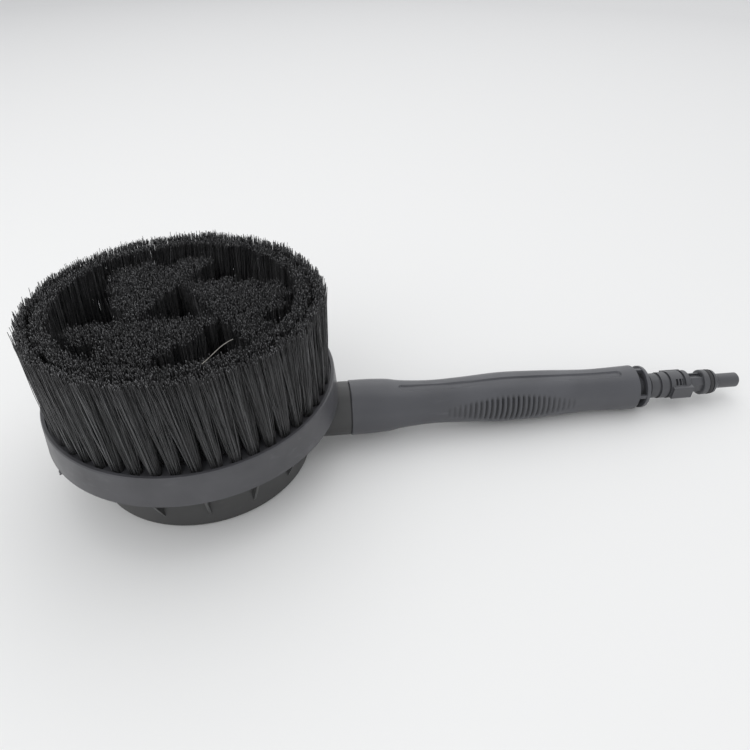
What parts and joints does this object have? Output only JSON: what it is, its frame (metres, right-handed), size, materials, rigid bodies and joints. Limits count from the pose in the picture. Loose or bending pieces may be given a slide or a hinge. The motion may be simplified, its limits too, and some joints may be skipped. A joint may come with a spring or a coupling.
{
  "type": "wheel brush",
  "caption": "Water-driven rotating wash brush: round bristle head on a drum housing, with a ribbed hollow handle that ends in a bayonet spigot.",
  "frame": {"origin": "centre of the drum's flat back, on the brush's spin axis", "axes": "+Z along the spin axis towards the bristles, +X towards the handle"},
  "size_m": [0.4302, 0.163, 0.1078],
  "materials": {
    "housing_plastic": "black moulded plastic",
    "grip_plastic": "charcoal moulded plastic",
    "spigot_plastic": "charcoal moulded plastic",
    "plate_plastic": "charcoal moulded plastic, satin rim",
    "inner_plastic": "black moulded plastic",
    "gear_plastic": "natural white gear plastic",
    "bristle": "black nylon filament",
    "rubber": "black sealing rubber",
    "steel": "stainless steel",
    "brass": "machined brass"
  },
  "bodies": {
    "handle": {"gear_housing": "housing_plastic", "chamber_cover": "inner_plastic", "chamber_gasket": "rubber", "cover_screws": "steel", "centre_axle": "steel", "thrust_washer": "steel", "retaining_washer": "steel", "retaining_screw": "steel", "turbine_foot_bush": "brass", "turbine_head_bush": "brass", "shaft_seal": "rubber", "reduction_pin": "steel", "reduction_clip": "steel", "jet_nozzle": "brass", "water_tube": "inner_plastic", "tube_front_o_ring": "rubber", "tube_rear_o_ring": "rubber", "neck_gasket": "rubber", "grip": "grip_plastic", "bayonet_spigot": "spigot_plastic", "spigot_o_ring": "rubber"},
    "brush": {"brush_plate": "plate_plastic", "hub_bush": "brass", "hub_cap": "plate_plastic", "ring_gear": "gear_plastic", "ring_gear_screws": "steel", "bristle_ring_1": "bristle", "bristle_ring_2": "bristle", "bristle_ring_3": "bristle", "bristle_ring_4": "bristle", "bristle_ring_5": "bristle", "bristle_ring_6": "bristle", "bristle_ring_7": "bristle", "bristle_arm_1": "bristle", "bristle_arm_2": "bristle", "bristle_arm_3": "bristle"},
    "reduction": {"reduction_gear": "gear_plastic"},
    "turbine": {"turbine_wheel": "gear_plastic", "turbine_shaft": "steel", "turbine_pinion": "gear_plastic"}
  },
  "joints": [
    {"name": "brush_spin", "type": "hinge", "parent": "handle", "child": "brush", "pos_m": [0, 0, 0.0455], "axis": [0, 0, 1], "continuous": true},
    {"name": "reduction_gear_spin", "type": "hinge", "parent": "handle", "child": "reduction", "pos_m": [0.0104, -0.0281, 0.04], "axis": [0, 0, 1], "continuous": true},
    {"name": "turbine_spin", "type": "hinge", "parent": "handle", "child": "turbine", "pos_m": [0.0305, -0.015, 0.02], "axis": [0, 0, 1], "continuous": true}
  ],
  "couplings": [
    {"joint": "reduction_gear_spin", "follows": "brush_spin", "ratio": 5},
    {"joint": "turbine_spin", "follows": "brush_spin", "ratio": -15}
  ]
}
